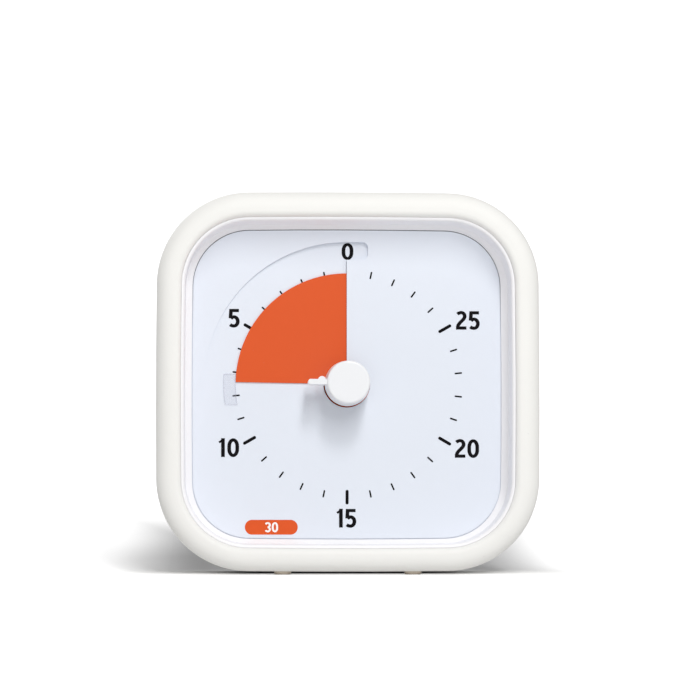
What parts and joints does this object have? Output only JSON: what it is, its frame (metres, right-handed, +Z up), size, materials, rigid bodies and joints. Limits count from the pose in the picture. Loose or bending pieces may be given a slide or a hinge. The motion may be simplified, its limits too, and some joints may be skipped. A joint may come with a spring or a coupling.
{
  "type": "visual countdown timer",
  "caption": "Square desk timer in a soft sleeve: a knob winds a coloured disc out over a sunken minute dial, and a quartz movement takes it back in.",
  "frame": {"origin": "under the middle of the case, on the floor that the feet stand on", "axes": "front with the dial faces -Y, +X to the right as seen from the front, +Z up"},
  "size_m": [0.089, 0.051, 0.0887],
  "materials": {
    "silicone": "matt white silicone",
    "foot_rubber": "tan rubber",
    "housing_white": "satin white moulding",
    "dial_white": "cool white moulding with dark printed scale",
    "disc_orange": "orange film, satin",
    "clear_film": "clear film",
    "knob_white": "white moulding",
    "natural_plastic": "natural acetal",
    "movement_grey": "dark grey moulding",
    "steel": "bright steel",
    "brass": "turned brass",
    "magnet": "dark ferrite",
    "soft_iron": "annealed iron",
    "copper_wire": "enamelled copper",
    "cell_wrap": "plain dark wrap with bare metal ends",
    "plated_steel": "nickel plate",
    "board_green": "green lacquered board",
    "black_plastic": "black moulding"
  },
  "bodies": {
    "case": {"silicone_cover": "silicone", "rubber_feet": "foot_rubber", "front_housing": "housing_white", "rear_housing": "housing_white", "dial_plate": "dial_white", "stator": "soft_iron", "coil_bobbin": "natural_plastic", "coil_core": "soft_iron", "coil_winding": "copper_wire", "movement_case": "movement_grey", "movement_plate": "movement_grey", "centre_bush": "brass", "lid_screws": "steel", "dial_screws": "steel", "battery_cell": "cell_wrap", "positive_contact": "plated_steel", "negative_spring": "plated_steel", "speaker": "magnet", "circuit_board": "board_green", "board_screws": "steel", "timing_chip": "black_plastic", "quartz_crystal": "plated_steel", "volume_pot": "black_plastic", "housing_screws": "steel"},
    "knob": {"knob": "knob_white", "arbor": "steel", "clutch_spring": "brass", "clutch_collar": "brass"},
    "disc": {"timer_disc": "disc_orange", "disc_tab": "clear_film", "disc_sleeve": "knob_white"},
    "centre_wheel": {"centre_wheel": "natural_plastic"},
    "second_wheel": {"second_wheel": "natural_plastic"},
    "first_wheel": {"first_wheel": "natural_plastic"},
    "rotor": {"rotor_pinion": "natural_plastic", "rotor_magnet": "magnet"},
    "volume": {"volume_dial": "housing_white", "volume_shaft": "steel"},
    "battery_door": {"battery_door": "housing_white"}
  },
  "joints": [
    {"name": "timer_turn", "type": "hinge", "parent": "case", "child": "knob", "pos_m": [0, -0.0245, 0.0444], "axis": [0, -1, 0], "range_deg": [-89.1, 270.9]},
    {"name": "disc_climb", "type": "slide", "parent": "knob", "child": "disc", "axis": [0, -1, 0], "range_m": [-0.00089, 0.00269]},
    {"name": "rotor_spin", "type": "hinge", "parent": "case", "child": "rotor", "pos_m": [-0.00035, 0, 0.03496], "axis": [0, -1, 0], "continuous": true},
    {"name": "first_spin", "type": "hinge", "parent": "case", "child": "first_wheel", "pos_m": [-0.00673, 0, 0.03667], "axis": [0, -1, 0], "continuous": true},
    {"name": "second_spin", "type": "hinge", "parent": "case", "child": "second_wheel", "pos_m": [-0.0088, 0, 0.0444], "axis": [0, -1, 0], "continuous": true},
    {"name": "centre_spin", "type": "hinge", "parent": "case", "child": "centre_wheel", "pos_m": [0, -0.004, 0.0444], "axis": [0, -1, 0], "continuous": true},
    {"name": "volume_turn", "type": "hinge", "parent": "case", "child": "volume", "pos_m": [0.0165, 0.0232, 0.0612], "axis": [0, 1, 0], "range_deg": [-135, 135]},
    {"name": "door_swing", "type": "hinge", "parent": "case", "child": "battery_door", "pos_m": [0, 0.0222, 0.0192], "axis": [-1, 0, 0], "range_deg": [0, 90]}
  ],
  "couplings": [
    {"joint": "disc_climb", "follows": "timer_turn", "m_per_rad": 0.00056693},
    {"joint": "first_spin", "follows": "rotor_spin", "ratio": -0.1},
    {"joint": "second_spin", "follows": "rotor_spin", "ratio": 0.011111},
    {"joint": "centre_spin", "follows": "rotor_spin", "ratio": -0.0011111}
  ]
}
